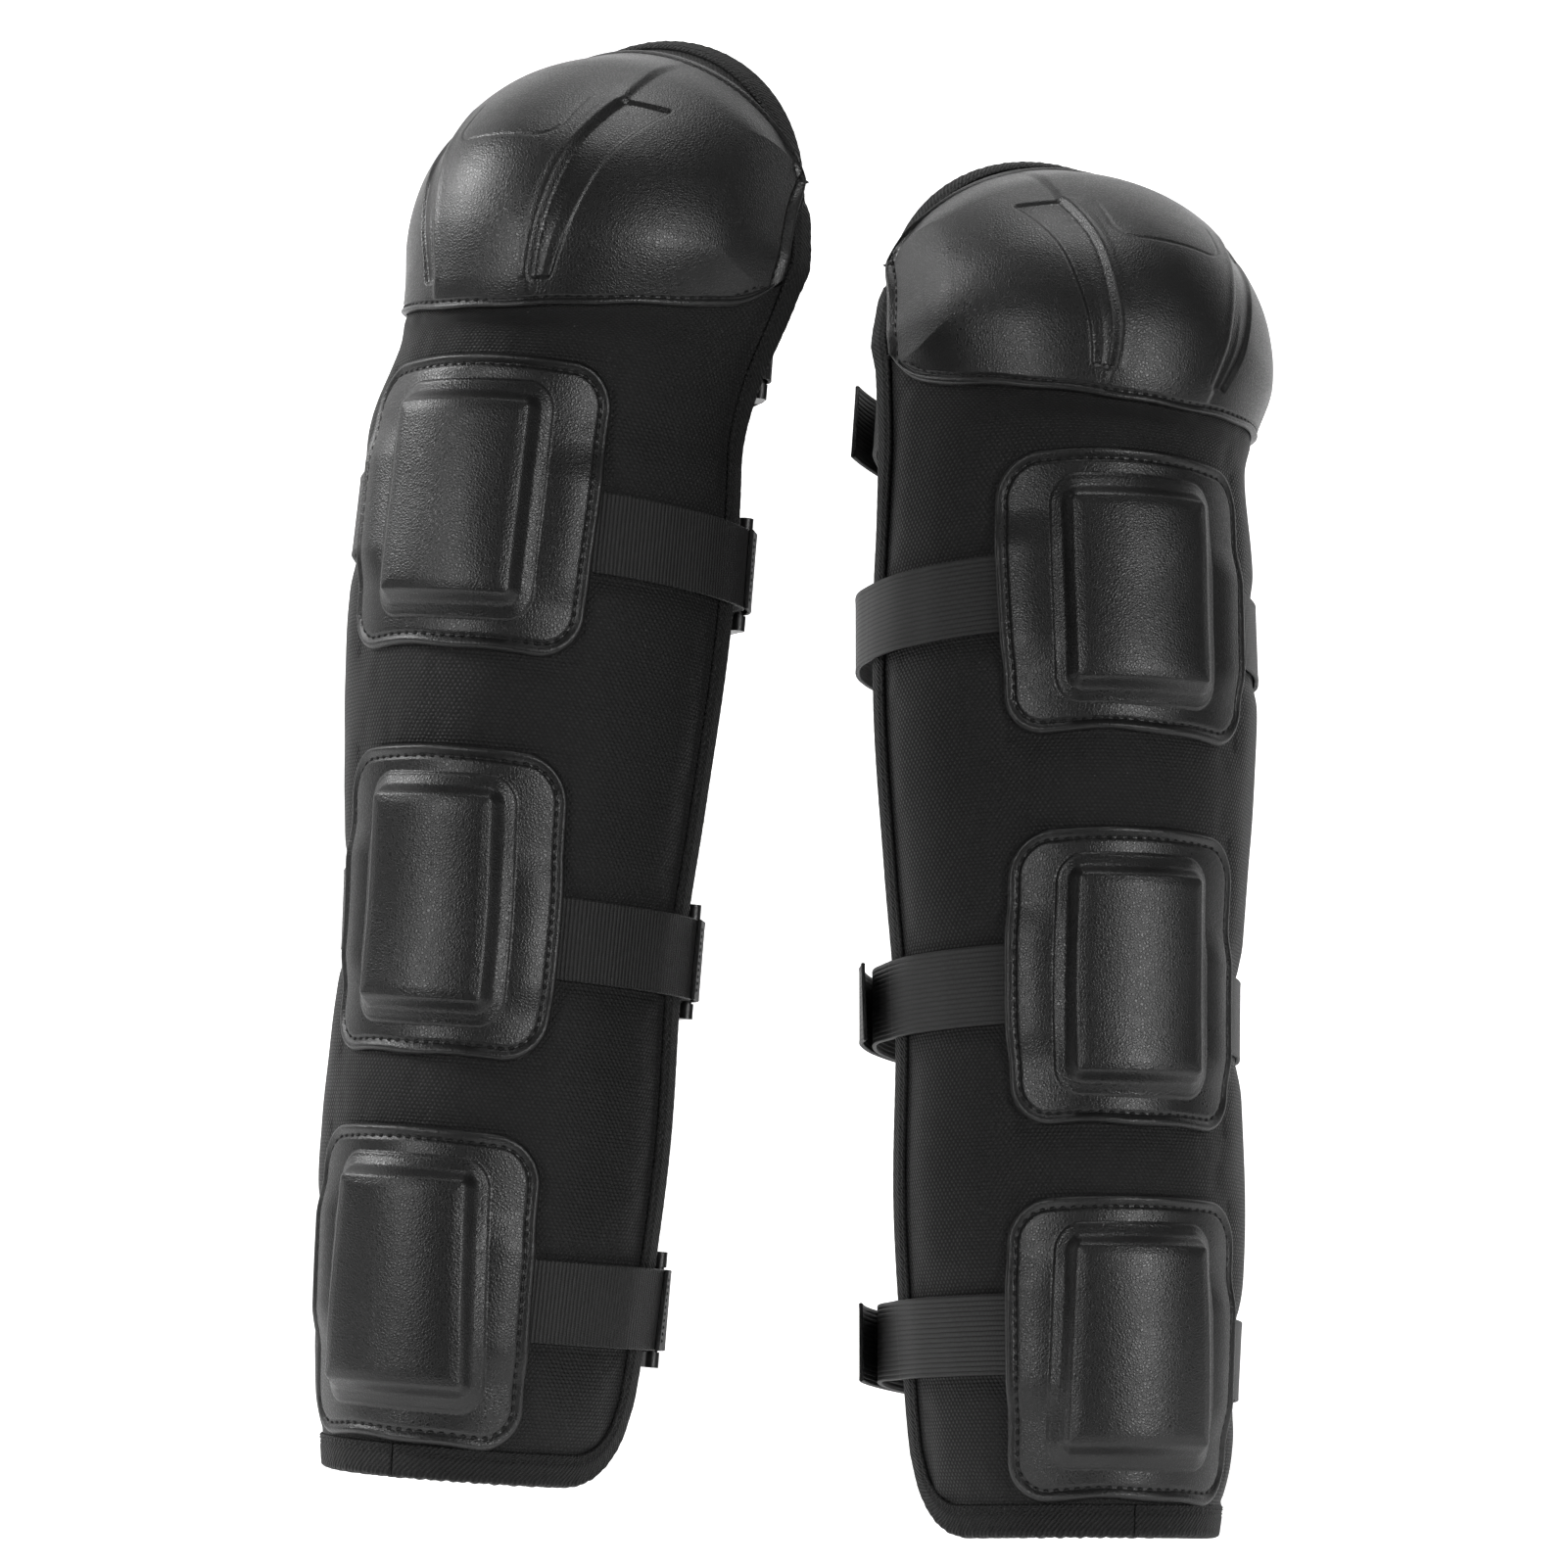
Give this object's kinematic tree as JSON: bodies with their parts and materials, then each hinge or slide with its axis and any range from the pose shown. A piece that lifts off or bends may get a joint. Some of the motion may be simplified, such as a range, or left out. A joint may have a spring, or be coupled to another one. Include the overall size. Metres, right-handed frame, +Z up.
{
  "type": "knee and shin guards",
  "caption": "Pair of long strap-on knee and shin guards with a padded body, a moulded knee cup, moulded shin plates and side-release buckles.",
  "frame": {"origin": "midway between the two guards at hem level, where the wearer holds the pair", "axes": "+Z up along the legs, -Y forwards (the knee cups face -Y), +X to the viewer's right"},
  "size_m": [0.3686, 0.2632, 0.5649],
  "materials": {
    "cover_fabric": "woven with a raised dot texture",
    "foam": "closed-cell foam",
    "mesh_lining": "knitted spacer mesh",
    "binding_tape": "twill tape",
    "moulded_leather": "fine pebble grain, semi-gloss",
    "webbing": "ribbed webbing",
    "elastic": "ribbed elastic",
    "buckle_plastic": "satin moulded"
  },
  "bodies": {
    "wraps": {"left_body_cover": "cover_fabric", "left_foam_core": "foam", "left_mesh_lining": "mesh_lining", "left_edge_binding": "binding_tape", "left_knee_cup": "moulded_leather", "left_knee_cup_pad": "foam", "left_upper_shin_plate": "moulded_leather", "left_upper_plate_insert": "foam", "left_middle_shin_plate": "moulded_leather", "left_middle_plate_insert": "foam", "left_lower_shin_plate": "moulded_leather", "left_lower_plate_insert": "foam", "left_knee_webbing": "webbing", "left_knee_elastic_strap": "elastic", "left_knee_buckle_socket": "buckle_plastic", "left_upper_webbing": "webbing", "left_upper_elastic_strap": "elastic", "left_upper_buckle_socket": "buckle_plastic", "left_middle_webbing": "webbing", "left_middle_elastic_strap": "elastic", "left_middle_buckle_socket": "buckle_plastic", "left_ankle_webbing": "webbing", "left_ankle_elastic_strap": "elastic", "left_ankle_buckle_socket": "buckle_plastic", "right_body_cover": "cover_fabric", "right_foam_core": "foam", "right_mesh_lining": "mesh_lining", "right_edge_binding": "binding_tape", "right_knee_cup": "moulded_leather", "right_knee_cup_pad": "foam", "right_upper_shin_plate": "moulded_leather", "right_upper_plate_insert": "foam", "right_middle_shin_plate": "moulded_leather", "right_middle_plate_insert": "foam", "right_lower_shin_plate": "moulded_leather", "right_lower_plate_insert": "foam", "right_knee_webbing": "webbing", "right_knee_elastic_strap": "elastic", "right_knee_buckle_socket": "buckle_plastic", "right_upper_webbing": "webbing", "right_upper_elastic_strap": "elastic", "right_upper_buckle_socket": "buckle_plastic", "right_middle_webbing": "webbing", "right_middle_elastic_strap": "elastic", "right_middle_buckle_socket": "buckle_plastic", "right_ankle_webbing": "webbing", "right_ankle_elastic_strap": "elastic", "right_ankle_buckle_socket": "buckle_plastic"},
    "left_knee_plug": {"left_knee_buckle_plug": "buckle_plastic"},
    "left_upper_plug": {"left_upper_buckle_plug": "buckle_plastic"},
    "left_middle_plug": {"left_middle_buckle_plug": "buckle_plastic"},
    "left_ankle_plug": {"left_ankle_buckle_plug": "buckle_plastic"},
    "right_knee_plug": {"right_knee_buckle_plug": "buckle_plastic"},
    "right_upper_plug": {"right_upper_buckle_plug": "buckle_plastic"},
    "right_middle_plug": {"right_middle_buckle_plug": "buckle_plastic"},
    "right_ankle_plug": {"right_ankle_buckle_plug": "buckle_plastic"}
  },
  "joints": [
    {"name": "left_knee_buckle_slide", "type": "slide", "parent": "wraps", "child": "left_knee_plug", "axis": [-0.3271, 0.9422, -0.073], "range_m": [0, 0.024], "deforming": ["left_knee_elastic_strap"]},
    {"name": "left_upper_buckle_slide", "type": "slide", "parent": "wraps", "child": "left_upper_plug", "axis": [-0.4754, 0.8781, -0.0543], "range_m": [0, 0.024], "deforming": ["left_upper_elastic_strap"]},
    {"name": "left_middle_buckle_slide", "type": "slide", "parent": "wraps", "child": "left_middle_plug", "axis": [-0.4754, 0.8781, -0.0543], "range_m": [0, 0.024], "deforming": ["left_middle_elastic_strap"]},
    {"name": "left_ankle_buckle_slide", "type": "slide", "parent": "wraps", "child": "left_ankle_plug", "axis": [-0.4754, 0.8781, -0.0543], "range_m": [0, 0.024], "deforming": ["left_ankle_elastic_strap"]},
    {"name": "right_knee_buckle_slide", "type": "slide", "parent": "wraps", "child": "right_knee_plug", "axis": [-0.9604, 0.2787, -0.0015], "range_m": [0, 0.024], "deforming": ["right_knee_elastic_strap"]},
    {"name": "right_upper_buckle_slide", "type": "slide", "parent": "wraps", "child": "right_upper_plug", "axis": [-0.9205, 0.3859, -0.0611], "range_m": [0, 0.024], "deforming": ["right_upper_elastic_strap"]},
    {"name": "right_middle_buckle_slide", "type": "slide", "parent": "wraps", "child": "right_middle_plug", "axis": [-0.9205, 0.3859, -0.0611], "range_m": [0, 0.024], "deforming": ["right_middle_elastic_strap"]},
    {"name": "right_ankle_buckle_slide", "type": "slide", "parent": "wraps", "child": "right_ankle_plug", "axis": [-0.9205, 0.3859, -0.0611], "range_m": [0, 0.024], "deforming": ["right_ankle_elastic_strap"]}
  ]
}
